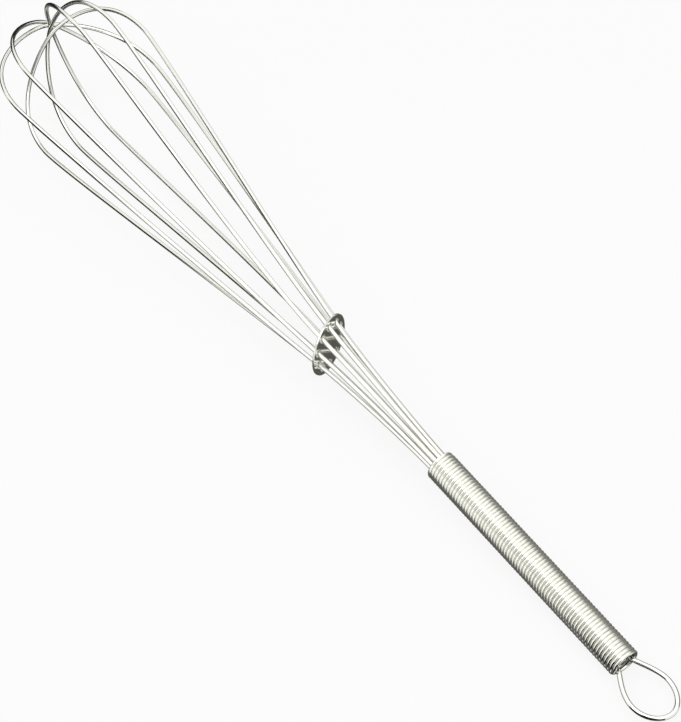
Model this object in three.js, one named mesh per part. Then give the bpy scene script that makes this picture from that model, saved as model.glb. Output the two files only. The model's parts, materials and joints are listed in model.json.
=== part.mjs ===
// French whisk: five wire loops gathered into a wire-wound handle, a loose spacer disc that keeps
// the wires apart, and a hanging loop. Millimetres, +Z up. The whisk is drawn along +X, tip first,
// and then laid on z = 0 as it rests on a table: on its two lowest arms and on the butt.
// A clock is an angle round the axis in degrees, from +Y towards +Z.

import * as THREE from 'three';

// Places along the axis, from the tip
const WIDEST_FROM_TIP = 36;
const DISC_FROM_TIP = 181.5;
const HANDLE_FROM_TIP = 240.7;

// Whisk wires
const WIRE_DIAMETER = 1.5;
const WIRE_SEAT = 60;
const WIRE_SIDE_GAP = 0.26;
const CROSSING_GAP = 0.2;
const WIRE_SIDES = 8;

// The head: its widest ring of wires, and how far it is out of true
const HEAD_RADIUS = 29.75;
const SIDE_CLOCK = 20;
const HEAD_SHIFT = -1.2;
const HEAD_LEAN = 1.3;
const CROSSING_SHIFT = 2.7;

// Each loop's two arms: their clocks at the widest ring, and the disc holes that they pass. Then
// where the loop crosses the tip: how many crossing shifts off the axis, and at what clock.
// The first loop crosses outermost, the last one innermost.
const LOOPS = [
  { clocks: [133, 324], holes: [3, 8], tip: { shifts: 1.35, clock: 21 } },
  { clocks: [160, 346], holes: [4, 9], tip: { shifts: 0.8, clock: 40 } },
  { clocks: [85, 283], holes: [2, 7], tip: { shifts: 2.2, clock: 44 } },
  { clocks: [60, 256], holes: [1, 6], tip: { shifts: 1, clock: 7 } },
  { clocks: [26, 225], holes: [0, 5], tip: { shifts: 1, clock: 21 } },
];
const ARMS = 2 * LOOPS.length;

// How far each bend of an arm reaches along the wire
const MOUTH_REACH = 8;
const HOLE_REACH_BACK = 18;
const HOLE_REACH = 38.6;
const WIDEST_REACH = 11;
const SHOULDER_REACH = 25.3;
const TIP_REACH = 7.7;
const SPREAD = 0.14;

// Straight steps that each bend of an arm is made of
const NECK_STEPS = 5;
const BOW_STEPS = 12;
const SHOULDER_STEPS = 12;

// Spacer disc: sheet steel with a ring of holes, tipped on the wires
const DISC_THICKNESS = 0.8;
const DISC_TILT = 26;
const DISC_TILT_CLOCK = 8;
const DISC_RIM = 1.35;
const DISC_SIDES = 48;
const HOLE_CIRCLE_RADIUS = 8;
const HOLE_CLEARANCE = 0.75;
const HOLE_SIDES = 16;
const FIRST_HOLE_CLOCK = 42.6;

// Handle: a core rod in the ring of wire ends, and one wire wound over them
const CORE_CLEARANCE = 0.2;
const CORE_INSET = 1.2;
const CORE_SIDES = 16;
const COIL_WIRE = 1.3;
const COIL_TURNS = 69.5;
const COIL_CLEARANCE = 0.4;
const COIL_SLIT = 0.42;
const COIL_STEPS = 10;
const COIL_SIDES = 5;

// Hanging loop: two legs inside the handle, and a lopsided eye that starts to bend just inside the
// butt. Its right side is towards +Y.
const LOOP_WIRE = 1.6;
const LOOP_SEAT = 28;
const LOOP_INSET = 0.65;
const LOOP_LENGTH = 21.2;
const LOOP_FLARE = 1.15;
const RIGHT_HALF_WIDTH = 6.8;
const RIGHT_WIDEST = 11.8;
const RIGHT_REACH = 4.25;
const LEFT_HALF_WIDTH = 7.65;
const LEFT_WIDEST = 11.95;
const LEFT_REACH = 5.55;
const LOOP_SIDES = [
  { toward: 1, halfWidth: RIGHT_HALF_WIDTH, widest: RIGHT_WIDEST, reach: RIGHT_REACH },
  { toward: -1, halfWidth: LEFT_HALF_WIDTH, widest: LEFT_WIDEST, reach: LEFT_REACH },
];
const ROUND_REACH = 0.54;
const EYE_STEPS = 7;

// Sizes that follow from those above
const WIRE_RADIUS = WIRE_DIAMETER / 2;
const LOOP_RADIUS = LOOP_WIRE / 2;
const RING_RADIUS = (WIRE_DIAMETER + WIRE_SIDE_GAP) / (2 * Math.sin(Math.PI / ARMS));
const CORE_RADIUS = RING_RADIUS - Math.max(WIRE_RADIUS, LOOP_RADIUS) - CORE_CLEARANCE;
const COIL_INNER_RADIUS = RING_RADIUS + Math.max(WIRE_RADIUS, LOOP_RADIUS) + COIL_CLEARANCE;
const COIL_OUTER_RADIUS = COIL_INNER_RADIUS + COIL_WIRE;
const BUTT_FROM_TIP = HANDLE_FROM_TIP + (COIL_TURNS + 1) * COIL_WIRE;
const EYE_FROM_TIP = BUTT_FROM_TIP - LOOP_INSET;
const HOLE_RADIUS = WIRE_RADIUS + HOLE_CLEARANCE;
const DISC_RADIUS = HOLE_CIRCLE_RADIUS + HOLE_RADIUS + DISC_RIM;

const AXIS = new THREE.Vector3(1, 0, 0);
const FULL_TURN = 360;

function radians(degrees) {
  return THREE.MathUtils.degToRad(degrees);
}

// Unit vector square to the axis, at a clock.
function outward(clock) {
  return new THREE.Vector3(0, Math.cos(radians(clock)), Math.sin(radians(clock)));
}

// Point at a place along the axis, at a radius and a clock.
function around(fromTip, radius, clock) {
  return outward(clock).multiplyScalar(radius).addScaledVector(AXIS, fromTip);
}

function regularPolygon(radius, sides) {
  const corners = [];
  for (let i = 0; i < sides; i += 1) {
    const angle = (2 * Math.PI * i) / sides;
    corners.push(new THREE.Vector2(radius * Math.cos(angle), radius * Math.sin(angle)));
  }
  return corners;
}

// A path made of spans, with its stations shared out span by span, so that a bend has more
// of them than a straight run of the same length.
class SpanPath extends THREE.Curve {
  constructor(spans) {
    super();
    this.spans = spans;
    this.steps = spans.reduce((sum, span) => sum + span.steps, 0);
  }

  getPoint(t, target = new THREE.Vector3()) {
    let step = t * this.steps;
    const last = this.spans.at(-1);
    for (const span of this.spans) {
      if (step <= span.steps || span === last) {
        return span.curve.getPoint(Math.min(step / span.steps, 1), target);
      }
      step -= span.steps;
    }
    return target;
  }

  getUtoTmapping(u) {
    return u;
  }
}

function line(from, to) {
  return { curve: new THREE.LineCurve3(from, to), steps: 1 };
}

function bend(from, fromPull, toPull, to, steps) {
  return { curve: new THREE.CubicBezierCurve3(from, fromPull, toPull, to), steps };
}

// The same spans, walked the other way.
function reversed(spans) {
  return [...spans].reverse().map(({ curve, steps }) => (curve.isLineCurve3
    ? line(curve.v2, curve.v1)
    : bend(curve.v3, curve.v2, curve.v1, curve.v0, steps)));
}

function wireGeometry(path, diameter) {
  const section = new THREE.Shape(regularPolygon(diameter / 2, WIRE_SIDES));
  return new THREE.ExtrudeGeometry(section, { steps: path.steps, bevelEnabled: false, extrudePath: path });
}

// The tipped disc: its centre, and its plane's own axes. Its side at the tilt's clock is nearer the tip.
const discCentre = AXIS.clone().multiplyScalar(DISC_FROM_TIP);
const discRise = outward(DISC_TILT_CLOCK).multiplyScalar(Math.cos(radians(DISC_TILT)))
  .addScaledVector(AXIS, -Math.sin(radians(DISC_TILT)));
const discAcross = outward(DISC_TILT_CLOCK + FULL_TURN / 4);
const discNormal = discRise.clone().cross(discAcross);

function holeClock(hole) {
  return FIRST_HOLE_CLOCK + (FULL_TURN / ARMS) * hole;
}

// A hole's centre in the disc's own plane.
function holeInDisc(hole) {
  const angle = radians(holeClock(hole) - DISC_TILT_CLOCK);
  return new THREE.Vector2(Math.cos(angle), Math.sin(angle)).multiplyScalar(HOLE_CIRCLE_RADIUS);
}

// One arm from its end in the handle to the crossing at the tip.
function armSpans(clock, otherClock, hole, crossing) {
  const legEnd = around(HANDLE_FROM_TIP + WIRE_SEAT, RING_RADIUS, holeClock(hole));
  const mouth = around(HANDLE_FROM_TIP, RING_RADIUS, holeClock(hole));
  const inDisc = holeInDisc(hole);
  const atHole = discCentre.clone().addScaledVector(discRise, inDisc.x).addScaledVector(discAcross, inDisc.y);
  const toHandle = AXIS.clone().addScaledVector(outward(holeClock(hole)), -SPREAD);
  const sideways = HEAD_RADIUS * Math.cos(radians(clock - SIDE_CLOCK));
  const widest = around(WIDEST_FROM_TIP, HEAD_RADIUS, clock)
    .addScaledVector(AXIS, sideways * Math.tan(radians(HEAD_LEAN)))
    .addScaledVector(outward(SIDE_CLOCK), HEAD_SHIFT);
  const fromCrossing = outward(clock).sub(outward(otherClock)).normalize();
  return [
    line(legEnd, mouth),
    bend(mouth, mouth.clone().addScaledVector(AXIS, -MOUTH_REACH),
      atHole.clone().addScaledVector(toHandle, HOLE_REACH_BACK), atHole, NECK_STEPS),
    bend(atHole, atHole.clone().addScaledVector(toHandle, -HOLE_REACH),
      widest.clone().addScaledVector(AXIS, WIDEST_REACH), widest, BOW_STEPS),
    bend(widest, widest.clone().addScaledVector(AXIS, -SHOULDER_REACH),
      crossing.clone().addScaledVector(fromCrossing, TIP_REACH), crossing, SHOULDER_STEPS),
  ];
}

function loopPath({ clocks, holes, tip }, layer) {
  const depth = WIRE_RADIUS + layer * (WIRE_DIAMETER + CROSSING_GAP);
  const crossing = around(depth, tip.shifts * CROSSING_SHIFT, tip.clock);
  const first = armSpans(clocks[0], clocks[1], holes[0], crossing);
  const second = armSpans(clocks[1], clocks[0], holes[1], crossing);
  return new SpanPath([...first, ...reversed(second)]);
}

// Sheet disc with its ring of holes, flat in its own plane.
function discGeometry() {
  const outline = new THREE.Shape(regularPolygon(DISC_RADIUS, DISC_SIDES));
  for (let hole = 0; hole < ARMS; hole += 1) {
    const centre = holeInDisc(hole);
    const rim = regularPolygon(HOLE_RADIUS, HOLE_SIDES).map((corner) => corner.add(centre));
    outline.holes.push(new THREE.Path(rim));
  }
  const sheet = new THREE.ExtrudeGeometry(outline, { depth: DISC_THICKNESS, bevelEnabled: false });
  return sheet.translate(0, 0, -DISC_THICKNESS / 2);
}

function coreGeometry() {
  const length = BUTT_FROM_TIP - HANDLE_FROM_TIP - 2 * CORE_INSET;
  const rod = new THREE.CylinderGeometry(CORE_RADIUS, CORE_RADIUS, length, CORE_SIDES);
  return rod.rotateZ(Math.PI / 2).translate((HANDLE_FROM_TIP + BUTT_FROM_TIP) / 2, 0, 0);
}

// Rings of corners along the winding's wire. The section keeps the wire's depth, and is narrowed
// along the axis by the slit between the turns. The rings' corners stand out a little, so that the
// straight steps between them lie on the true radius on average.
function coilRings() {
  const unit = regularPolygon(1, COIL_SIDES);
  const deepest = Math.min(...unit.map((corner) => corner.x));
  const widest = Math.max(...unit.map((corner) => corner.y));
  const standOut = 2 / (1 + Math.cos(Math.PI / COIL_STEPS));
  const rings = [];
  for (let step = 0; step <= COIL_TURNS * COIL_STEPS; step += 1) {
    const clock = (FULL_TURN * step) / COIL_STEPS;
    const along = HANDLE_FROM_TIP + COIL_WIRE / 2 + (COIL_WIRE * step) / COIL_STEPS;
    rings.push(unit.map((corner) => {
      const depth = ((corner.x - deepest) / (1 - deepest)) * COIL_WIRE;
      const width = (corner.y / widest) * ((COIL_WIRE - COIL_SLIT) / 2);
      return around(along + width, COIL_INNER_RADIUS * standOut + depth, clock);
    }));
  }
  return rings;
}

function leastGapBetweenTurns(rings) {
  let least = Infinity;
  for (let i = 0; i + COIL_STEPS < rings.length; i += 1) {
    for (const corner of rings[i]) {
      for (const next of rings[i + COIL_STEPS]) {
        least = Math.min(least, corner.distanceTo(next));
      }
    }
  }
  return least;
}

// One closed tube through rings of corners, with a flat cap on each end.
function tubeGeometry(rings) {
  const sides = rings[0].length;
  const index = [];
  for (let i = 0; i + 1 < rings.length; i += 1) {
    for (let j = 0; j < sides; j += 1) {
      const here = i * sides + j;
      const beside = i * sides + ((j + 1) % sides);
      index.push(here, here + sides, beside, beside, here + sides, beside + sides);
    }
  }
  const lastRing = (rings.length - 1) * sides;
  for (let j = 1; j + 1 < sides; j += 1) {
    index.push(0, j, j + 1, lastRing, lastRing + j + 1, lastRing + j);
  }
  const geometry = new THREE.BufferGeometry().setFromPoints(rings.flat());
  geometry.setIndex(index);
  geometry.computeVertexNormals();
  return geometry;
}

// Half of the hanging loop: one leg, its flare at the butt and its side of the eye, round to the far end.
function hangingSide({ toward, halfWidth, widest, reach }, farEnd) {
  const at = (along, across) => new THREE.Vector3(EYE_FROM_TIP + along, toward * across, 0);
  const farReach = ROUND_REACH * halfWidth;
  const sideReach = ROUND_REACH * (LOOP_LENGTH - widest);
  const butt = at(0, RING_RADIUS);
  const side = at(widest, halfWidth);
  return [
    line(at(-LOOP_SEAT, RING_RADIUS), butt),
    bend(butt, at(LOOP_FLARE, RING_RADIUS), at(widest - reach, halfWidth), side, EYE_STEPS),
    bend(side, at(widest + sideReach, halfWidth), at(LOOP_LENGTH, farReach), farEnd, EYE_STEPS),
  ];
}

function hangingPath() {
  const farEnd = new THREE.Vector3(EYE_FROM_TIP + LOOP_LENGTH, 0, 0);
  const [first, second] = LOOP_SIDES.map((side) => hangingSide(side, farEnd));
  return new SpanPath([...first, ...reversed(second)]);
}

// Tilt that brings the lowest wires and the bottom of the butt down to one level.
function restTilt(paths) {
  let tilt = 0;
  for (const path of paths) {
    for (const point of path.getPoints(path.steps * 4)) {
      const drop = (WIRE_RADIUS - point.z) - COIL_OUTER_RADIUS;
      tilt = Math.max(tilt, Math.atan2(drop, BUTT_FROM_TIP - point.x));
    }
  }
  return tilt;
}

const whisk = new THREE.Group();

function addPart(name, geometry, finish) {
  const mesh = new THREE.Mesh(geometry, new THREE.MeshStandardMaterial({ metalness: 1, ...finish }));
  mesh.name = name;
  whisk.add(mesh);
  return mesh;
}

const brightWire = { color: 0xd8d8d4, roughness: 0.16 };
const polishedSheet = { color: 0xb9bab6, roughness: 0.06 };
const windingWire = { color: 0xd0d0c9, roughness: 0.22 };
const plainRod = { color: 0xa9a9a4, roughness: 0.4 };

const loopPaths = LOOPS.map(loopPath);
loopPaths.forEach((path, layer) => {
  addPart(`wire_loop_${layer + 1}`, wireGeometry(path, WIRE_DIAMETER), brightWire);
});

const disc = addPart('spacer_disc', discGeometry(), polishedSheet);
disc.quaternion.setFromRotationMatrix(new THREE.Matrix4().makeBasis(discRise, discAcross, discNormal));
disc.position.copy(discCentre);

addPart('handle_core', coreGeometry(), plainRod);
const turns = coilRings();
addPart('handle_winding', tubeGeometry(turns), windingWire);
console.log(`least gap between turns of the winding: ${leastGapBetweenTurns(turns).toFixed(3)} mm`);
addPart('hanging_loop', wireGeometry(hangingPath(), LOOP_WIRE), brightWire);

// Laid down, with the origin under the middle of its box
whisk.rotation.y = restTilt(loopPaths);
const box = new THREE.Box3().setFromObject(whisk, true);
const middle = box.getCenter(new THREE.Vector3());
whisk.position.set(-middle.x, -middle.y, -box.min.z);
console.log(`rest tilt: ${THREE.MathUtils.radToDeg(whisk.rotation.y).toFixed(4)} degrees`);

export default whisk;
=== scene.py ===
"""Looks of a french whisk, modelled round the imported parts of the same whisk.

Every piece is modelled in the whisk's own axes, x from the tip of the loops to the butt, and is then
laid down where the parts lie. Lengths are in metres. A clock is an angle round the whisk's axis in
degrees, from its y axis towards its z axis.
"""

import json
import logging
import math
from dataclasses import dataclass
from enum import Enum
from typing import Any, Callable, Iterable, Sequence, Union

import bmesh
import bpy
from mathutils import Matrix, Vector, noise
from mathutils.geometry import interpolate_bezier


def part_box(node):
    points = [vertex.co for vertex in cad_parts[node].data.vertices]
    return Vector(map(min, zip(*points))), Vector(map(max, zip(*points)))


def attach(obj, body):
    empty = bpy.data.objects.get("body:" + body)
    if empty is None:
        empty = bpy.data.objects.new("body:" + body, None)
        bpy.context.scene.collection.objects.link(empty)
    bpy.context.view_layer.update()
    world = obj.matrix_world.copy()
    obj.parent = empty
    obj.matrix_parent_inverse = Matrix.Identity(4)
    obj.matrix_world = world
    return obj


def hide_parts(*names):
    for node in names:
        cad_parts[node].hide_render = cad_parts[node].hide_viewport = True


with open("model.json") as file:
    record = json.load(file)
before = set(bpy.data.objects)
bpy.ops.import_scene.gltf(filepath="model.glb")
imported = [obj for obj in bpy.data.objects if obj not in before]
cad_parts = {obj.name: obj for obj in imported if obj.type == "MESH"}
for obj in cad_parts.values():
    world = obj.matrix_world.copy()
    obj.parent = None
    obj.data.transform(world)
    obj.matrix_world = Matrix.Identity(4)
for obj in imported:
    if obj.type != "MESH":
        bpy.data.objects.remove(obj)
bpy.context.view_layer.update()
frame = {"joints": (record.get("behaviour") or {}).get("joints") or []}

LOG = logging.getLogger("french_whisk")
MM = 0.001
FULL_TURN = 360.0
RUN = "run"  # attribute that holds a point's place along the straightened wire, and in its section

Triple = tuple[float, float, float]
Colour = Triple
WHITE: Colour = (1.0, 1.0, 1.0)
QUAD_SIDES = 4  # sides of the faces along a wire
FLAT_NORMAL = 0.999  # share of a unit normal that counts as square to a plane


class Body(Enum):
    """Bodies that a piece can ride on."""

    WHISK = "whisk"
    DISC = "disc"


class Slot(Enum):
    """Material slots that a piece's label names."""

    WHISK_WIRE = "whisk_wire"
    DISC_SHEET = "disc_sheet"
    WINDING_WIRE = "winding_wire"
    CORE_ROD = "core_rod"


# Shader graphs


class Value:
    """A shader socket that takes part in Python arithmetic, one Math node for each operation."""

    def __init__(self, graph: "ShaderGraph", socket: bpy.types.NodeSocket) -> None:
        """Wraps an output socket of a graph."""
        self.graph = graph
        self.socket = socket

    def _math(self, operation: str, first: "Operand", second: "Operand") -> "Value":
        """Adds one Math node on two operands."""
        sockets = {"Value": first, "Value_001": second}
        return self.graph.node("ShaderNodeMath", {"operation": operation}, sockets)

    def __add__(self, other: "Operand") -> "Value":
        """Sum with a number or another value."""
        return self._math("ADD", self, other)

    def __radd__(self, other: "Operand") -> "Value":
        """Sum with a number on the left."""
        return self._math("ADD", other, self)

    def __sub__(self, other: "Operand") -> "Value":
        """Difference from a number or another value."""
        return self._math("SUBTRACT", self, other)

    def __rsub__(self, other: "Operand") -> "Value":
        """Difference with a number on the left."""
        return self._math("SUBTRACT", other, self)

    def __mul__(self, other: "Operand") -> "Value":
        """Product with a number or another value."""
        return self._math("MULTIPLY", self, other)

    def __rmul__(self, other: "Operand") -> "Value":
        """Product with a number on the left."""
        return self._math("MULTIPLY", other, self)

    def __abs__(self) -> "Value":
        """Size without its sign."""
        return self._math("ABSOLUTE", self, 0.0)


Operand = Union[Value, float]


class ShaderGraph:
    """The node tree of a material or of the world."""

    def __init__(self, owner: Union[bpy.types.Material, bpy.types.World]) -> None:
        """Starts an empty graph.

        Args:
            owner: The material or the world that the graph belongs to.
        """
        owner.use_nodes = True
        self.tree = owner.node_tree
        self.tree.nodes.clear()

    def node(self, kind: str, settings: dict[str, Any], sockets: dict[str, Any], output: str = "") -> Value:
        """Adds a node of any type.

        Args:
            kind: The node's type.
            settings: The node's properties, set first.
            sockets: The value or the link of each input, by its identifier.
            output: Identifier of the output that is wanted, the first one if empty.

        Returns:
            That output.
        """
        made = self.tree.nodes.new(kind)
        for name, setting in settings.items():
            setattr(made, name, setting)
        by_name = {socket.identifier: socket for socket in made.inputs}
        for name, given in sockets.items():
            if isinstance(given, Value):
                self.tree.links.new(given.socket, by_name[name])
            else:
                by_name[name].default_value = given
        outputs = {socket.identifier: socket for socket in made.outputs}
        first = next(iter(made.outputs), None)
        return Value(self, outputs.get(output, first))

    def smooth_step(self, value: Value, low: float, high: float) -> Value:
        """A value's smooth rise from 0 at low to 1 at high."""
        settings = {"interpolation_type": "SMOOTHSTEP"}
        return self.node("ShaderNodeMapRange", settings, {"Value": value, "From Min": low, "From Max": high})

    def noise(self, vector: Value, stretch: Triple, detail: float) -> Value:
        """Noise over a stretched vector.

        Args:
            vector: Where the noise is read.
            stretch: How many times a metre each axis repeats the noise.
            detail: How many finer layers the noise has.

        Returns:
            The noise, about 0.5 on average.
        """
        stretched = self.node(
            "ShaderNodeVectorMath", {"operation": "MULTIPLY"}, {"Vector": vector, "Vector_001": stretch}
        )
        return self.node("ShaderNodeTexNoise", {}, {"Vector": stretched, "Scale": 1.0, "Detail": detail})

    def blend(self, share: Value, first: Union[Value, tuple], second: Union[Value, tuple]) -> Value:
        """A colour between two colours, the second where the share is 1."""
        sockets = {"Factor_Float": share, "A_Color": first, "B_Color": second}
        return self.node("ShaderNodeMix", {"data_type": "RGBA"}, sockets, "Result_Color")

    def run(self) -> Value:
        """The piece's own straightened coordinates."""
        return self.node("ShaderNodeAttribute", {"attribute_name": RUN}, {}, "Vector")

    def parts(self, vector: Value) -> tuple[Value, Value, Value]:
        """Splits a vector.

        Args:
            vector: The vector.

        Returns:
            Its three numbers.
        """
        split = self.node("ShaderNodeSeparateXYZ", {}, {"Vector": vector})
        outputs = split.socket.node.outputs
        return Value(self, outputs["X"]), Value(self, outputs["Y"]), Value(self, outputs["Z"])


def opaque(colour: Colour) -> tuple[float, float, float, float]:
    """A colour with its alpha."""
    return (*colour, 1.0)


# Finishes


@dataclass(frozen=True)
class MetalFinish:
    """What every metal finish here shares: a bright and a dull colour, and the roughness of each."""

    name: str
    bright: Colour
    dull: Colour
    polished: float
    rubbed: float
    relief: float

    def material(self) -> bpy.types.Material:
        """Makes the finish's material.

        Returns:
            The material.
        """
        made = bpy.data.materials.new(self.name)
        graph = ShaderGraph(made)
        dullness, height = self.surface(graph)
        bump = graph.node("ShaderNodeBump", {}, {"Strength": 1.0, "Distance": self.relief, "Height": height})
        metal = graph.node(
            "ShaderNodeBsdfPrincipled",
            {},
            {
                "Base Color": graph.blend(dullness, opaque(self.bright), opaque(self.dull)),
                "Metallic": 1.0,
                "Roughness": self.polished + dullness * (self.rubbed - self.polished),
                "Normal": bump,
            },
        )
        graph.node("ShaderNodeOutputMaterial", {}, {"Surface": metal})
        return made

    def surface(self, graph: ShaderGraph) -> tuple[Value, Value]:
        """How dull and how high the surface is.

        Args:
            graph: Where the nodes go.

        Returns:
            The dullness, from 0 to 1, and the height, from 0 to 1.
        """
        raise NotImplementedError


@dataclass(frozen=True)
class DrawnWire(MetalFinish):
    """Bright wire with the fine lines of its drawing die along it, and faint marks of use."""

    line_length: float = 26 * MM
    line_width: float = 0.09 * MM
    line_detail: float = 2.0
    line_share: float = 0.22
    patch: float = 21 * MM
    patch_slimness: float = 9.0
    patch_detail: float = 4.0
    patch_from: float = 0.46
    patch_to: float = 0.74
    patch_share: float = 0.3

    def surface(self, graph: ShaderGraph) -> tuple[Value, Value]:
        """Die lines and dull patches.

        Args:
            graph: Where the nodes go.

        Returns:
            The dullness and the height.
        """
        run = graph.run()
        across = 1 / self.line_width
        lines = graph.noise(run, (1 / self.line_length, across, across), self.line_detail)
        size = 1 / self.patch
        slim = self.patch_slimness * size
        cloud = graph.noise(run, (size, slim, slim), self.patch_detail)
        patches = graph.smooth_step(cloud, self.patch_from, self.patch_to)
        return self.line_share * lines + self.patch_share * patches, lines


@dataclass(frozen=True)
class RolledSheet(MetalFinish):
    """Polished sheet with rolling lines one way and rub marks round its holes."""

    line_length: float = 7 * MM
    line_width: float = 0.07 * MM
    line_detail: float = 2.0
    line_share: float = 0.25
    patch: float = 6 * MM
    patch_detail: float = 5.0
    patch_from: float = 0.42
    patch_to: float = 0.72
    patch_share: float = 0.3
    hole_circle: float = 8 * MM
    hole_lip: float = 1.2 * MM
    hole_reach: float = 2.6 * MM
    holes: int = 10
    first_hole: float = 34.6
    rub_from: float = -0.2
    rub_to: float = 0.8
    rub_share: float = 0.35

    def surface(self, graph: ShaderGraph) -> tuple[Value, Value]:
        """Rolling lines, cloudy patches and rub marks.

        Args:
            graph: Where the nodes go.

        Returns:
            The dullness and the height.
        """
        run = graph.run()
        along = 1 / self.line_length
        lines = graph.noise(run, (along, 1 / self.line_width, along), self.line_detail)
        size = 1 / self.patch
        cloud = graph.noise(run, (size, size, size), self.patch_detail)
        patches = graph.smooth_step(cloud, self.patch_from, self.patch_to)
        across, rise, _ = graph.parts(run)
        radius = graph.node(
            "ShaderNodeMath", {"operation": "SQRT"}, {"Value": across * across + rise * rise}
        )
        ring = 1 - graph.smooth_step(abs(radius - self.hole_circle), self.hole_lip, self.hole_reach)
        angle = graph.node("ShaderNodeMath", {"operation": "ARCTAN2"}, {"Value": rise, "Value_001": across})
        turned = (angle - math.radians(self.first_hole)) * float(self.holes)
        near_hole = graph.node("ShaderNodeMath", {"operation": "COSINE"}, {"Value": turned})
        marks = ring * graph.smooth_step(near_hole, self.rub_from, self.rub_to)
        dullness = self.line_share * lines + self.patch_share * patches + self.rub_share * marks
        return dullness, lines


@dataclass(frozen=True)
class PlainRod(MetalFinish):
    """Plain drawn rod, greyer than the bright wires, with coarse lines along it."""

    line_length: float = 12 * MM
    line_width: float = 0.2 * MM
    line_detail: float = 3.0
    line_share: float = 0.5
    mottle_repeats: float = 900.0
    mottle_detail: float = 4.0
    mottle_share: float = 0.5

    def surface(self, graph: ShaderGraph) -> tuple[Value, Value]:
        """Coarse drawn lines under mottled grey.

        Args:
            graph: Where the nodes go.

        Returns:
            The dullness and the height.
        """
        run = graph.run()
        across = 1 / self.line_width
        lines = graph.noise(run, (1 / self.line_length, across, across), self.line_detail)
        repeats = self.mottle_repeats
        mottle = graph.noise(run, (repeats, repeats, repeats), self.mottle_detail)
        return self.line_share * lines + self.mottle_share * mottle, lines


BRIGHT_WIRE = DrawnWire(
    name="bright_drawn_wire",
    bright=(0.88, 0.88, 0.84),
    dull=(0.7, 0.7, 0.65),
    polished=0.09,
    rubbed=0.3,
    relief=0.0012 * MM,
)
WINDING_WIRE = DrawnWire(
    name="close_wound_wire",
    bright=(0.86, 0.86, 0.8),
    dull=(0.7, 0.7, 0.635),
    polished=0.12,
    rubbed=0.3,
    relief=0.002 * MM,
)
POLISHED_SHEET = RolledSheet(
    name="polished_rolled_sheet",
    bright=(0.72, 0.72, 0.68),
    dull=(0.55, 0.55, 0.5),
    polished=0.05,
    rubbed=0.24,
    relief=0.002 * MM,
)
GREY_ROD = PlainRod(
    name="plain_grey_rod",
    bright=(0.7, 0.7, 0.67),
    dull=(0.42, 0.42, 0.39),
    polished=0.28,
    rubbed=0.5,
    relief=0.01 * MM,
)


# Shapes in the whisk's own axes

ALONG = Vector((1.0, 0.0, 0.0))


def outward(clock: float) -> Vector:
    """Unit vector square to the whisk's axis, at a clock."""
    angle = math.radians(clock)
    return Vector((0.0, math.cos(angle), math.sin(angle)))


def around(from_tip: float, radius: float, clock: float) -> Vector:
    """Point at a place along the axis, at a radius and a clock."""
    return ALONG * from_tip + outward(clock) * radius


@dataclass(frozen=True)
class Span:
    """One stretch of a wire, a curve from start to end that leaves and arrives along its pulls."""

    start: Vector
    start_pull: Vector
    end_pull: Vector
    end: Vector
    steps: int

    @classmethod
    def straight(cls, start: Vector, end: Vector) -> "Span":
        """A straight stretch."""
        return cls(start, start.lerp(end, 1 / 3), start.lerp(end, 2 / 3), end, 1)

    def backwards(self) -> "Span":
        """The same stretch, walked the other way."""
        return Span(self.end, self.end_pull, self.start_pull, self.start, self.steps)

    def points(self) -> list[Vector]:
        """Points along the stretch, both ends among them."""
        return interpolate_bezier(self.start, self.start_pull, self.end_pull, self.end, self.steps + 1)


def path_of(first_half: Sequence[Span], second_half: Sequence[Span]) -> list[Vector]:
    """Points of a wire bent into a loop.

    Args:
        first_half: Stretches from one end of the wire to its middle.
        second_half: Stretches from its other end to its middle.

    Returns:
        Points from one end to the other, each place once.
    """
    spans = [*first_half, *(span.backwards() for span in reversed(second_half))]
    points = [spans[0].start]
    for span in spans:
        points.extend(span.points()[1:])
    return points


def tangents_of(points: Sequence[Vector]) -> list[Vector]:
    """Direction of a path at each of its points."""
    last = len(points) - 1
    return [(points[min(i + 1, last)] - points[max(i - 1, 0)]).normalized() for i in range(last + 1)]


def drawn_wire(points: Sequence[Vector], radius: float, sides: int) -> bmesh.types.BMesh:
    """Round wire along a path, with both ends closed.

    Args:
        points: The path.
        radius: The wire's radius.
        sides: Sides of its section.

    Returns:
        The wire, with its straightened place on every vertex.
    """
    shape = bmesh.new()
    run = shape.verts.layers.float_vector.new(RUN)
    tangents = tangents_of(points)
    turn = Vector((0.0, 0.0, 1.0)).rotation_difference(tangents[0])
    stand = Matrix.Translation(points[0]) @ turn.to_matrix().to_4x4()
    bmesh.ops.create_circle(shape, radius=radius, segments=sides)
    for vert in shape.verts:
        vert[run] = (0.0, vert.co.x, vert.co.y)
    bmesh.ops.transform(shape, matrix=stand, verts=shape.verts)
    edges = list(shape.edges)
    length = 0.0
    for i in range(1, len(points)):
        grown = bmesh.ops.extrude_edge_only(shape, edges=edges)["geom"]
        ring = [item for item in grown if isinstance(item, bmesh.types.BMVert)]
        edges = [item for item in grown if isinstance(item, bmesh.types.BMEdge)]
        turn = tangents[i - 1].rotation_difference(tangents[i])
        step = points[i] - points[i - 1]
        bmesh.ops.rotate(shape, verts=ring, cent=points[i - 1], matrix=turn.to_matrix())
        bmesh.ops.translate(shape, verts=ring, vec=step)
        length += step.length
        for vert in ring:
            vert[run] = (length, vert[run].y, vert[run].z)
    close_ends(shape, sides)
    return shape


def close_ends(shape: bmesh.types.BMesh, sides: int) -> None:
    """Closes the open ends of a tube and turns its faces outwards.

    Args:
        shape: The tube.
        sides: Sides of its section.
    """
    open_edges = [edge for edge in shape.edges if edge.is_boundary]
    bmesh.ops.holes_fill(shape, edges=open_edges, sides=sides)
    bmesh.ops.recalc_face_normals(shape, faces=shape.faces)


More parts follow.
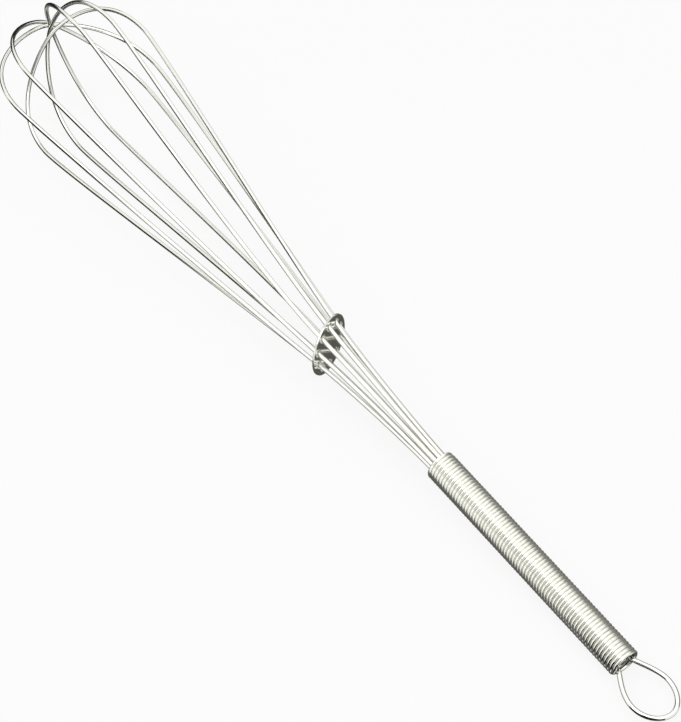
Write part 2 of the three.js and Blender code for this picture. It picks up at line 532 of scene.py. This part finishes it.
def round_edges(
    shape: bmesh.types.BMesh, edges: Iterable[bmesh.types.BMEdge], offset: float, segments: int
) -> None:
    """Rounds edges over.

    Args:
        shape: The mesh.
        edges: The edges.
        offset: How far from the edge the rounding starts.
        segments: Steps of the rounding.
    """
    bmesh.ops.bevel(
        shape,
        geom=list(edges),
        offset=offset,
        segments=segments,
        profile=0.5,
        affect="EDGES",
        material=-1,
    )


def keep_own_place(shape: bmesh.types.BMesh) -> None:
    """Keeps each vertex's place in the piece's own axes as its straightened place.

    Args:
        shape: The mesh.
    """
    run = shape.verts.layers.float_vector.new(RUN)
    for vert in shape.verts:
        vert[run] = vert.co


def is_cap(face: bmesh.types.BMFace) -> bool:
    """Whether a face is the flat end of a wire or a rod."""
    return len(face.verts) > QUAD_SIDES


def is_flat_sheet(face: bmesh.types.BMFace) -> bool:
    """Whether a face lies in the sheet's own plane."""
    return abs(face.normal.z) > FLAT_NORMAL


# The whisk


@dataclass(frozen=True)
class Label:
    """What a finished piece is called, what it rides on and what it stands for."""

    name: str
    node: str
    body: Body
    slot: Slot


@dataclass(frozen=True)
class WhiskPlace:
    """Where the whisk lies: the matrix from its own axes to the parts' frame."""

    laid: Matrix

    @classmethod
    def from_parts(cls, core_middle: float) -> "WhiskPlace":
        """Reads the place from the slide's axis and from the core, whose middle lies on the axis.

        Args:
            core_middle: How far from the tip the core's middle is.

        Returns:
            The place.
        """
        along = Vector(frame["joints"][0]["axis"]).normalized()
        across = Vector((0.0, 1.0, 0.0))
        low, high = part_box("handle_core")
        laid = Matrix((along, across, along.cross(across))).transposed().to_4x4()
        laid.translation = (low + high) / 2 - along * core_middle
        return cls(laid)

    def add(
        self,
        label: Label,
        shape: bmesh.types.BMesh,
        material: bpy.types.Material,
        is_flat: Callable[[bmesh.types.BMFace], bool],
    ) -> bpy.types.Object:
        """Lays a shape down as a finished piece.

        Args:
            label: The piece's name, node, body and slot.
            shape: The shape in the whisk's own axes, which is used up.
            material: Its material.
            is_flat: Tells the faces that are shaded flat from the smooth ones.

        Returns:
            The piece.
        """
        for face in shape.faces:
            face.smooth = not is_flat(face)
        bmesh.ops.transform(shape, matrix=self.laid, verts=shape.verts)
        mesh = bpy.data.meshes.new(label.name)
        shape.to_mesh(mesh)
        shape.free()
        mesh.materials.append(material)
        piece = bpy.data.objects.new(label.name, mesh)
        bpy.context.scene.collection.objects.link(piece)
        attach(piece, label.body.value)
        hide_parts(label.node)
        LOG.info("%s: %d faces, rides on %s", label.name, len(mesh.polygons), label.body.value)
        return piece


@dataclass(frozen=True)
class Handle:
    """Core rod inside the ring of wire ends, with one wire wound close over them."""

    from_tip: float = 240.7 * MM
    wires: int = 10
    wire_diameter: float = 1.5 * MM
    wire_side_gap: float = 0.26 * MM
    thickest_leg: float = 1.6 * MM
    core_clearance: float = 0.2 * MM
    core_inset: float = 1.2 * MM
    core_sides: int = 48
    core_edge: float = 1.1 * MM
    core_edge_steps: int = 4
    coil_wire: float = 1.3 * MM
    coil_half_turns: int = 139
    coil_clearance: float = 0.4 * MM
    coil_sides: int = 16
    coil_steps: int = 20
    coil_touch: float = 0.002 * MM
    coil_waver: float = 0.02 * MM
    waver_out_pace: float = 1.7
    waver_along_pace: float = 1.3
    waver_apart: float = 7.0
    tuck_turns: float = 0.22
    tuck_depth: float = 0.3 * MM
    cut_edge: float = 0.2 * MM
    cut_edge_steps: int = 3

    @property
    def ring_radius(self) -> float:
        """Radius of the ring that the wire ends lie on."""
        return (self.wire_diameter + self.wire_side_gap) / (2 * math.sin(math.pi / self.wires))

    @property
    def length(self) -> float:
        """Length of the winding."""
        return (self.coil_half_turns / 2 + 1) * self.coil_wire

    @property
    def butt_from_tip(self) -> float:
        """How far from the tip the handle ends."""
        return self.from_tip + self.length

    @property
    def middle_from_tip(self) -> float:
        """How far from the tip the middle of the handle is."""
        return self.from_tip + self.length / 2

    def core(self) -> bmesh.types.BMesh:
        """Makes the core rod.

        Returns:
            The rod, with its ends rounded over.
        """
        radius = self.ring_radius - self.thickest_leg / 2 - self.core_clearance
        shape = bmesh.new()
        along_axis = Matrix.Translation(ALONG * self.middle_from_tip) @ Matrix.Rotation(math.pi / 2, 4, "Y")
        bmesh.ops.create_cone(
            shape,
            cap_ends=True,
            segments=self.core_sides,
            radius1=radius,
            radius2=radius,
            depth=self.length - 2 * self.core_inset,
            matrix=along_axis,
        )
        rims = {edge for face in shape.faces if is_cap(face) for edge in face.edges}
        round_edges(shape, rims, self.core_edge, self.core_edge_steps)
        keep_own_place(shape)
        return shape

    def winding(self) -> bmesh.types.BMesh:
        """Winds the wire.

        Returns:
            The wire, its turns side by side and its two cut ends tucked in a little.
        """
        start = self.from_tip + self.coil_wire / 2
        radius = self.ring_radius + self.thickest_leg / 2 + self.coil_clearance + self.coil_wire / 2
        shape = bmesh.new()
        run = shape.verts.layers.float_vector.new(RUN)
        bmesh.ops.create_circle(shape, radius=self.coil_wire / 2 - self.coil_touch, segments=self.coil_sides)
        for vert in shape.verts:
            vert[run] = (0.0, vert.co.x, vert.co.y)
        section = Matrix(((0, 1, 0), (1, 0, 0), (0, 0, -1))).to_4x4()
        section.translation = around(start, radius, 0.0)
        bmesh.ops.transform(shape, matrix=section, verts=shape.verts)
        bmesh.ops.spin(
            shape,
            geom=shape.verts[:] + shape.edges[:],
            cent=ALONG * start,
            axis=ALONG,
            dvec=ALONG * (self.coil_wire / 2 / self.coil_steps),
            angle=math.pi,
            steps=self.coil_steps,
        )
        copies = self.coil_half_turns - 1
        bmesh.ops.spin(
            shape,
            geom=shape.verts[:] + shape.edges[:] + shape.faces[:],
            cent=ALONG * start,
            axis=ALONG,
            dvec=ALONG * (self.coil_wire / 2),
            angle=math.pi * copies,
            steps=copies,
            use_duplicate=True,
        )
        bmesh.ops.remove_doubles(shape, verts=shape.verts, dist=self.coil_touch)
        for vert in shape.verts:
            self._settle(vert, run, start, radius)
        close_ends(shape, self.coil_sides)
        cut_rims = {edge for face in shape.faces if is_cap(face) for edge in face.edges}
        round_edges(shape, cut_rims, self.cut_edge, self.cut_edge_steps)
        return shape

    def _settle(
        self, vert: bmesh.types.BMVert, run: bmesh.types.BMLayerItem, start: float, radius: float
    ) -> None:
        """Moves a vertex as hand-wound wire lies: a little uneven, and tucked in at its ends.

        Args:
            vert: The vertex.
            run: Layer that holds its place in the wire.
            start: How far from the tip the wire starts.
            radius: Radius of the turns at the wire's middle.
        """
        place = vert[run]
        turn = (vert.co.x - start - place.z) / self.coil_wire
        from_end = min(turn, self.coil_half_turns / 2 - turn)
        tucked = max(0.0, 1 - from_end / self.tuck_turns) ** 2
        waver_out = noise.noise(Vector((turn * self.waver_out_pace, 0.0, 0.0)))
        waver_along = noise.noise(Vector((turn * self.waver_along_pace, self.waver_apart, 0.0)))
        out = Vector((0.0, vert.co.y, vert.co.z)).normalized()
        vert.co += out * (self.coil_waver * waver_out - self.tuck_depth * tucked)
        vert.co += ALONG * (self.coil_waver * waver_along)
        vert[run] = (turn * 2 * math.pi * radius, place.y, place.z)

    def build(self, place: WhiskPlace) -> None:
        """Adds the core and the winding.

        Args:
            place: Where the whisk lies.
        """
        core = Label("core_rod", "handle_core", Body.WHISK, Slot.CORE_ROD)
        place.add(core, self.core(), GREY_ROD.material(), is_cap)
        winding = Label("wound_wire", "handle_winding", Body.WHISK, Slot.WINDING_WIRE)
        place.add(winding, self.winding(), WINDING_WIRE.material(), is_cap)


@dataclass(frozen=True)
class SpacerDisc:
    """Round sheet with a ring of holes that the wires pass through, tipped on them."""

    from_tip: float = 181.5 * MM
    thickness: float = 0.8 * MM
    tilt: float = 26.0
    tilt_clock: float = 8.0
    rim: float = 1.35 * MM
    holes: int = 10
    hole_circle: float = 8 * MM
    hole_radius: float = 1.5 * MM
    first_hole_clock: float = 42.6
    outline_sides: int = 160
    hole_sides: int = 40
    edge: float = 0.16 * MM
    edge_steps: int = 3
    sharp_edge: float = 60.0

    def hole_clock(self, hole: int) -> float:
        """Clock of a hole."""
        return self.first_hole_clock + FULL_TURN / self.holes * hole

    def hole_in_sheet(self, hole: int) -> Vector:
        """Centre of a hole in the sheet's own plane."""
        angle = math.radians(self.hole_clock(hole) - self.tilt_clock)
        return Vector((math.cos(angle), math.sin(angle), 0.0)) * self.hole_circle

    def tipped(self) -> Matrix:
        """Tips the sheet on the wires.

        Returns:
            The matrix from the sheet's own axes to the whisk's.
        """
        tilt = math.radians(self.tilt)
        rise = outward(self.tilt_clock) * math.cos(tilt) - ALONG * math.sin(tilt)
        across = outward(self.tilt_clock + FULL_TURN / 4)
        matrix = Matrix((rise, across, rise.cross(across))).transposed().to_4x4()
        matrix.translation = ALONG * self.from_tip
        return matrix

    def sheet(self) -> bmesh.types.BMesh:
        """Makes the sheet.

        Returns:
            The sheet in its own axes, with its rim and the rims of its holes rounded over.
        """
        shape = bmesh.new()
        radius = self.hole_circle + self.hole_radius + self.rim
        bmesh.ops.create_circle(shape, radius=radius, segments=self.outline_sides)
        for hole in range(self.holes):
            centre = Matrix.Translation(self.hole_in_sheet(hole))
            bmesh.ops.create_circle(shape, radius=self.hole_radius, segments=self.hole_sides, matrix=centre)
        bmesh.ops.triangle_fill(shape, edges=shape.edges[:], use_beauty=True, normal=(0.0, 0.0, 1.0))
        grown = bmesh.ops.extrude_face_region(shape, geom=shape.faces[:])["geom"]
        top = [item for item in grown if isinstance(item, bmesh.types.BMVert)]
        bmesh.ops.translate(shape, verts=top, vec=(0.0, 0.0, self.thickness))
        bmesh.ops.translate(shape, verts=shape.verts, vec=(0.0, 0.0, -self.thickness / 2))
        bmesh.ops.recalc_face_normals(shape, faces=shape.faces)
        rims = [edge for edge in shape.edges if edge.calc_face_angle(0.0) > math.radians(self.sharp_edge)]
        round_edges(shape, rims, self.edge, self.edge_steps)
        keep_own_place(shape)
        return shape

    def build(self, place: WhiskPlace) -> None:
        """Adds the disc.

        Args:
            place: Where the whisk lies.
        """
        label = Label("spacer_plate", "spacer_disc", Body.DISC, Slot.DISC_SHEET)
        tipped_place = WhiskPlace(place.laid @ self.tipped())
        tipped_place.add(label, self.sheet(), POLISHED_SHEET.material(), is_flat_sheet)


@dataclass(frozen=True)
class Arm:
    """One side of a wire loop: its clock at the widest ring, and the disc's hole that it passes."""

    clock: float
    hole: int


@dataclass(frozen=True)
class Loop:
    """A wire loop: its two sides, and how many shifts off the axis, at which clock, it crosses the tip."""

    first: Arm
    second: Arm
    tip_shifts: float
    tip_clock: float


@dataclass(frozen=True)
class WireHead:
    """Five wire loops, from their ends in the handle, through the disc, to their crossing at the tip."""

    handle: Handle
    disc: SpacerDisc
    loops: tuple[Loop, ...] = (
        Loop(Arm(133.0, 3), Arm(324.0, 8), tip_shifts=1.35, tip_clock=21.0),
        Loop(Arm(160.0, 4), Arm(346.0, 9), tip_shifts=0.8, tip_clock=40.0),
        Loop(Arm(85.0, 2), Arm(283.0, 7), tip_shifts=2.2, tip_clock=44.0),
        Loop(Arm(60.0, 1), Arm(256.0, 6), tip_shifts=1.0, tip_clock=7.0),
        Loop(Arm(26.0, 0), Arm(225.0, 5), tip_shifts=1.0, tip_clock=21.0),
    )
    widest_from_tip: float = 36 * MM
    radius: float = 29.75 * MM
    side_clock: float = 20.0
    shift: float = -1.2 * MM
    lean: float = 1.3
    crossing_shift: float = 2.7 * MM
    crossing_gap: float = 0.2 * MM
    wire_seat: float = 60 * MM
    mouth_reach: float = 8 * MM
    hole_reach_back: float = 18 * MM
    hole_reach: float = 38.6 * MM
    widest_reach: float = 11 * MM
    shoulder_reach: float = 25.3 * MM
    tip_reach: float = 7.7 * MM
    spread: float = 0.14
    wire_sides: int = 20
    neck_steps: int = 16
    bow_steps: int = 30

    def arm(self, arm: Arm, other: Arm, crossing: Vector) -> list[Span]:
        """One side of a loop.

        Args:
            arm: The side.
            other: The loop's other side.
            crossing: Where the loop crosses the tip.

        Returns:
            Its stretches, from its end in the handle to the crossing.
        """
        clock = self.disc.hole_clock(arm.hole)
        leg_end = around(self.handle.from_tip + self.wire_seat, self.handle.ring_radius, clock)
        mouth = around(self.handle.from_tip, self.handle.ring_radius, clock)
        at_hole = self.disc.tipped() @ self.disc.hole_in_sheet(arm.hole)
        to_handle = ALONG - outward(clock) * self.spread
        sideways = self.radius * math.cos(math.radians(arm.clock - self.side_clock))
        widest = (
            around(self.widest_from_tip, self.radius, arm.clock)
            + ALONG * sideways * math.tan(math.radians(self.lean))
            + outward(self.side_clock) * self.shift
        )
        from_crossing = (outward(arm.clock) - outward(other.clock)).normalized()
        return [
            Span.straight(leg_end, mouth),
            Span(
                mouth,
                mouth - ALONG * self.mouth_reach,
                at_hole + to_handle * self.hole_reach_back,
                at_hole,
                self.neck_steps,
            ),
            Span(
                at_hole,
                at_hole - to_handle * self.hole_reach,
                widest + ALONG * self.widest_reach,
                widest,
                self.bow_steps,
            ),
            Span(
                widest,
                widest - ALONG * self.shoulder_reach,
                crossing + from_crossing * self.tip_reach,
                crossing,
                self.bow_steps,
            ),
        ]

    def loop(self, layer: int) -> bmesh.types.BMesh:
        """Makes a whole loop.

        Args:
            layer: Which loop, from 0 for the outermost at the tip.

        Returns:
            The loop's wire.
        """
        diameter = self.handle.wire_diameter
        depth = diameter / 2 + layer * (diameter + self.crossing_gap)
        loop = self.loops[layer]
        crossing = around(depth, loop.tip_shifts * self.crossing_shift, loop.tip_clock)
        first = self.arm(loop.first, loop.second, crossing)
        second = self.arm(loop.second, loop.first, crossing)
        points = path_of(first, second)
        return drawn_wire(points, diameter / 2, self.wire_sides)

    def build(self, place: WhiskPlace, wire: bpy.types.Material) -> None:
        """Adds the five loops.

        Args:
            place: Where the whisk lies.
            wire: The wires' material.
        """
        for layer in range(len(self.loops)):
            number = layer + 1
            label = Label(f"whisk_loop_{number}", f"wire_loop_{number}", Body.WHISK, Slot.WHISK_WIRE)
            place.add(label, self.loop(layer), wire, is_cap)


@dataclass(frozen=True)
class EyeSide:
    """One side of the hanging loop's eye."""

    toward: int
    half_width: float
    widest: float
    reach: float


@dataclass(frozen=True)
class HangingLoop:
    """Heavier wire with two legs inside the handle and a lopsided eye beyond the butt."""

    handle: Handle
    seat: float = 28 * MM
    inset: float = 0.65 * MM
    length: float = 21.2 * MM
    flare: float = 1.15 * MM
    round_reach: float = 0.54
    sides: tuple[EyeSide, EyeSide] = (
        EyeSide(toward=1, half_width=6.8 * MM, widest=11.8 * MM, reach=4.25 * MM),
        EyeSide(toward=-1, half_width=7.65 * MM, widest=11.95 * MM, reach=5.55 * MM),
    )
    wire_sides: int = 24
    bend_steps: int = 24

    def side(self, side: EyeSide) -> list[Span]:
        """One leg and its side of the eye, round to the far end.

        Args:
            side: Which side.

        Returns:
            Its stretches.
        """
        start = self.handle.butt_from_tip - self.inset

        def at(along: float, across: float) -> Vector:
            """Point beyond the start of the eye, on this side of the axis."""
            return Vector((start + along, side.toward * across, 0.0))

        ring = self.handle.ring_radius
        side_reach = self.round_reach * (self.length - side.widest)
        return [
            Span.straight(at(-self.seat, ring), at(0.0, ring)),
            Span(
                at(0.0, ring),
                at(self.flare, ring),
                at(side.widest - side.reach, side.half_width),
                at(side.widest, side.half_width),
                self.bend_steps,
            ),
            Span(
                at(side.widest, side.half_width),
                at(side.widest + side_reach, side.half_width),
                at(self.length, self.round_reach * side.half_width),
                at(self.length, 0.0),
                self.bend_steps,
            ),
        ]

    def build(self, place: WhiskPlace, wire: bpy.types.Material) -> None:
        """Adds the hanging loop.

        Args:
            place: Where the whisk lies.
            wire: The wire's material.
        """
        first, second = self.sides
        points = path_of(self.side(first), self.side(second))
        shape = drawn_wire(points, self.handle.thickest_leg / 2, self.wire_sides)
        label = Label("hanging_eye_wire", "hanging_loop", Body.WHISK, Slot.WHISK_WIRE)
        place.add(label, shape, wire, is_cap)


# Studio and camera


@dataclass(frozen=True)
class Card:
    """A glowing card that only reflections see, a painted reflection: dark for painted shade, bright for a
    painted highlight. Its middle, two sides, brightness and soft borders.
    """

    name: str
    middle: Vector
    width: Vector
    height: Vector
    radiance: float
    width_border: float
    height_border: float

    def inside(self, graph: ShaderGraph, side: Vector, border: float) -> Value:
        """How far inside the card's border a point is, along one of its sides.

        Args:
            graph: Where the nodes go.
            side: The side, as long as the card.
            border: How far from the card's edge the card becomes solid.

        Returns:
            0 at the card's edge, 1 inside its border.
        """
        place = graph.node("ShaderNodeTexCoord", {}, {}, "Object")
        along = side.normalized()
        sockets = {"Vector": place, "Vector_001": along}
        reach = graph.node("ShaderNodeVectorMath", {"operation": "DOT_PRODUCT"}, sockets, "Value")
        from_edge = side.length / 2 - abs(reach - self.middle.dot(along))
        return graph.smooth_step(from_edge, 0.0, border)


@dataclass(frozen=True)
class Lamp:
    """A square soft box that shines at the whisk."""

    name: str
    place: Vector
    side: float
    radiance: float


@dataclass(frozen=True)
class Studio:
    """Pale floor, white surroundings, a soft box above, and glowing cards that only reflections see, which
    paint shade and highlights into the metal's reflections.
    """

    floor_side: float = 12.0
    floor_colour: Colour = (0.9, 0.9, 0.9)
    white_share: float = 0.86
    ambient: float = 0.5
    # Tint of the cards' painted reflections, both painted shade and painted highlights.
    card_tint: Colour = (1.0, 1.0, 0.94)
    lamps: tuple[Lamp, ...] = (
        Lamp(name="overhead_box", place=Vector((0.15, -0.2, 1.2)), side=1.5, radiance=1.25),
    )
    # Every card is a painted reflection: it glows for reflection rays only, lights nothing and casts no
    # shadow. Dark and grey cards paint shade on the metal, bright cards paint highlights.
    cards: tuple[Card, ...] = (
        # Painted shade: a dark card beyond the tip, seen only in reflections.
        Card(
            name="painted_shade_beyond_tip",
            middle=Vector((-0.3, -0.04, 0.03)),
            width=Vector((0.0, 0.2, 0.0)),
            height=Vector((0.0, 0.0, 0.16)),
            radiance=0.02,
            width_border=0.03,
            height_border=0.03,
        ),
        # Painted shade: a small dark card just beyond the tip, seen only in reflections.
        Card(
            name="painted_shade_near_tip",
            middle=Vector((-0.2025, 0.0225, 0.0325)),
            width=Vector((0.045, 0.055, 0.0)),
            height=Vector((0.0, 0.0, 0.055)),
            radiance=0.02,
            width_border=0.006,
            height_border=0.008,
        ),
        # Painted highlight: a bright glowing card high beyond the tip, seen only in reflections; it is no
        # lamp.
        Card(
            name="painted_highlight_beyond_tip",
            middle=Vector((-0.9, 0.0, 0.95)),
            width=Vector((0.0, 1.9, 0.0)),
            height=Vector((0.0, 0.0, 1.0)),
            radiance=1.1,
            width_border=0.2,
            height_border=0.15,
        ),
        # Painted shade: a dark card beside the head, seen only in reflections.
        Card(
            name="painted_shade_left_of_head",
            middle=Vector((-0.275, -0.2155, -0.03)),
            width=Vector((0.35, 0.19, 0.0)),
            height=Vector((0.0, 0.0, 0.46)),
            radiance=0.015,
            width_border=0.05,
            height_border=0.05,
        ),
        # Painted shade: a grey card behind the handle, seen only in reflections.
        Card(
            name="painted_shade_behind_handle",
            middle=Vector((0.135, 0.22, -0.205)),
            width=Vector((0.39, 0.0, 0.0)),
            height=Vector((0.0, 0.0, 0.79)),
            radiance=0.25,
            width_border=0.05,
            height_border=0.19,
        ),
        # Painted floor shadow: a dark card under the floor, seen through it only by reflections. It stands
        # for the floor's shade under the whisk.
        Card(
            name="painted_floor_shadow_below",
            middle=Vector((-0.54, 0.05, -0.15)),
            width=Vector((1.52, 0.0, 0.0)),
            height=Vector((0.0, 1.7, 0.0)),
            radiance=0.12,
            width_border=0.04,
            height_border=0.65,
        ),
        # Painted shade: a small dark card beside the eye, seen only in reflections.
        Card(
            name="painted_shade_by_eye",
            middle=Vector((0.1925, -0.0285, -0.011)),
            width=Vector((0.085, 0.033, 0.0)),
            height=Vector((0.0, 0.0, 0.078)),
            radiance=0.01,
            width_border=0.004,
            height_border=0.004,
        ),
        # Painted shade: a dark card beside the camera, seen only in reflections.
        Card(
            name="painted_shade_by_camera",
            middle=Vector((0.486, -0.448, 0.765)),
            width=Vector((0.45, 0.378, 0.0)),
            height=Vector((0.0, 0.0, 0.85)),
            radiance=0.04,
            width_border=0.06,
            height_border=0.1,
        ),
        # Painted highlight: a bright glowing card above, seen only in reflections; it is no lamp.
        Card(
            name="painted_highlight_above_right",
            middle=Vector((0.15, 0.85, 1.1)),
            width=Vector((1.7, 0.0, 0.0)),
            height=Vector((0.0, 0.8, 0.0)),
            radiance=1.35,
            width_border=0.2,
            height_border=0.15,
        ),
        # Painted highlight: a bright glowing card low on the left, seen only in reflections; it is no lamp.
        Card(
            name="painted_highlight_low_left",
            middle=Vector((0.11, -0.8, 0.27)),
            width=Vector((1.12, 0.0, 0.0)),
            height=Vector((0.0, 0.0, 0.3)),
            radiance=1.35,
            width_border=0.15,
            height_border=0.08,
        ),
        # Painted floor shadow: a small dark card under the floor below the eye, seen only by reflections. It
        # stands for the floor's shade close under the eye.
        Card(
            name="painted_floor_shadow_under_eye",
            middle=Vector((0.19, 0.018, -0.05)),
            width=Vector((0.06, 0.0, 0.0)),
            height=Vector((0.0, 0.06, 0.0)),
            radiance=0.03,
            width_border=0.008,
            height_border=0.008,
        ),
    )

    def white_rays(self, graph: ShaderGraph) -> Value:
        """Tells the rays that see white surroundings: from the camera, and by way of metal or glass.

        Args:
            graph: Where the nodes go.

        Returns:
            1 for those rays.
        """
        path = graph.node("ShaderNodeLightPath", {}, {})
        outputs = path.socket.node.outputs
        seen = Value(graph, outputs["Is Camera Ray"]) + Value(graph, outputs["Is Glossy Ray"])
        return seen + Value(graph, outputs["Is Transmission Ray"])

    def add_world(self) -> None:
        """White surroundings that light the scene softly."""
        world = bpy.data.worlds.new("white_surroundings")
        bpy.context.scene.world = world
        graph = ShaderGraph(world)
        white = opaque(WHITE)
        soft = graph.node("ShaderNodeBackground", {}, {"Color": white, "Strength": self.ambient})
        seen = graph.node("ShaderNodeBackground", {}, {"Color": white, "Strength": 1.0})
        sockets = {"Fac": self.white_rays(graph), "Shader": soft, "Shader_001": seen}
        mixed = graph.node("ShaderNodeMixShader", {}, sockets)
        graph.node("ShaderNodeOutputWorld", {}, {"Surface": mixed})

    def floor_material(self) -> bpy.types.Material:
        """Makes the floor's material.

        Returns:
            A pale material that looks white and keeps a share of the shadows on it.
        """
        made = bpy.data.materials.new("pale_floor")
        graph = ShaderGraph(made)
        pale = graph.node("ShaderNodeBsdfDiffuse", {}, {"Color": opaque(self.floor_colour)})
        white = graph.node("ShaderNodeEmission", {}, {"Color": opaque(WHITE), "Strength": 1.0})
        share = self.white_share * self.white_rays(graph)
        mixed = graph.node("ShaderNodeMixShader", {}, {"Fac": share, "Shader": pale, "Shader_001": white})
        graph.node("ShaderNodeOutputMaterial", {}, {"Surface": mixed})
        return made

    def add_plane(self, name: str, matrix: Matrix, material: bpy.types.Material) -> bpy.types.Object:
        """A flat staging piece.

        Args:
            name: Its name.
            matrix: Where the plane from -0.5 to 0.5 goes.
            material: Its material.

        Returns:
            The piece.
        """
        shape = bmesh.new()
        bmesh.ops.create_grid(shape, x_segments=1, y_segments=1, size=0.5, matrix=matrix)
        mesh = bpy.data.meshes.new(name)
        shape.to_mesh(mesh)
        shape.free()
        mesh.materials.append(material)
        plane = bpy.data.objects.new(name, mesh)
        bpy.context.scene.collection.objects.link(plane)
        return plane

    def add_card(self, card: Card) -> None:
        """Adds a card, seen by reflections only, where it paints shade or a highlight.

        Args:
            card: The card.
        """
        made = bpy.data.materials.new(card.name)
        graph = ShaderGraph(made)
        clear = graph.node("ShaderNodeBsdfTransparent", {}, {})
        sockets = {"Color": opaque(self.card_tint), "Strength": card.radiance}
        glow = graph.node("ShaderNodeEmission", {}, sockets)
        across = card.inside(graph, card.width, card.width_border)
        inside = across * card.inside(graph, card.height, card.height_border)
        mixed = graph.node("ShaderNodeMixShader", {}, {"Fac": inside, "Shader": clear, "Shader_001": glow})
        graph.node("ShaderNodeOutputMaterial", {}, {"Surface": mixed})
        matrix = Matrix((card.width, card.height, card.width.cross(card.height))).transposed().to_4x4()
        matrix.translation = card.middle
        plane = self.add_plane(card.name, matrix, made)
        # Only reflections see the card, so its glow is a painted reflection that lights nothing and casts no
        # shadow.
        plane.visible_camera = False
        plane.visible_diffuse = False
        plane.visible_shadow = False
        plane.visible_transmission = False

    def add_lamp(self, lamp: Lamp) -> None:
        """Adds a soft box aimed at the middle of the whisk.

        Args:
            lamp: The soft box.
        """
        light = bpy.data.lights.new(lamp.name, "AREA")
        light.shape = "SQUARE"
        light.size = lamp.side
        light.energy = lamp.radiance * math.pi * lamp.side**2
        box = bpy.data.objects.new(lamp.name, light)
        box.location = lamp.place
        box.rotation_euler = lamp.place.to_track_quat("Z", "Y").to_euler()
        bpy.context.scene.collection.objects.link(box)

    def build(self) -> None:
        """Adds the world, the floor, the cards and the lamps."""
        self.add_world()
        floor = Matrix.Diagonal((self.floor_side, self.floor_side, 1.0, 1.0))
        ground = self.add_plane("pale_floor", floor, self.floor_material())
        # Reflections look through the floor to the white surroundings and to the cards under it, which paint
        # the floor's shadow.
        ground.visible_glossy = False
        for card in self.cards:
            self.add_card(card)
        for lamp in self.lamps:
            self.add_lamp(lamp)
        LOG.info("studio: %d lamps and %d cards", len(self.lamps), len(self.cards))


@dataclass(frozen=True)
class Viewpoint:
    """The photograph's camera, given by how it looks at the whisk's axis."""

    aim_from_tip: float = 189.1 * MM
    aim_sideways: float = -0.83 * MM
    distance: float = 778.5 * MM
    toward_butt: float = 28.0
    side_clock: float = 20.0
    roll: float = 47.195
    lens: float = 117.15
    sensor: float = 36.0

    def build(self, place: WhiskPlace) -> None:
        """Adds the camera.

        Args:
            place: Where the whisk lies.
        """
        turn = math.radians(self.toward_butt)
        side = outward(self.side_clock)
        facing = outward(self.side_clock + FULL_TURN / 4)
        back = ALONG * math.sin(turn) + facing * math.cos(turn)
        level = ALONG * math.cos(turn) - facing * math.sin(turn)
        roll = math.radians(self.roll)
        right = level * math.cos(roll) + side * math.sin(roll)
        up = side * math.cos(roll) - level * math.sin(roll)
        matrix = Matrix((right, up, back)).transposed().to_4x4()
        matrix.translation = ALONG * self.aim_from_tip + side * self.aim_sideways + back * self.distance
        data = bpy.data.cameras.new("photo_camera")
        data.lens = self.lens
        data.sensor_width = self.sensor
        camera = bpy.data.objects.new("photo_camera", data)
        camera.matrix_world = place.laid @ matrix
        bpy.context.scene.collection.objects.link(camera)
        bpy.context.scene.camera = camera


def main() -> None:
    """Builds the whisk, the studio and the camera."""
    logging.basicConfig(level=logging.INFO, format="%(name)s: %(message)s")
    bpy.context.scene.view_settings.view_transform = "Standard"
    handle = Handle()
    disc = SpacerDisc()
    place = WhiskPlace.from_parts(handle.middle_from_tip)
    bright_wire = BRIGHT_WIRE.material()
    WireHead(handle, disc).build(place, bright_wire)
    disc.build(place)
    handle.build(place)
    HangingLoop(handle).build(place, bright_wire)
    Studio().build()
    Viewpoint().build(place)


if __name__ == "__main__":
    main()
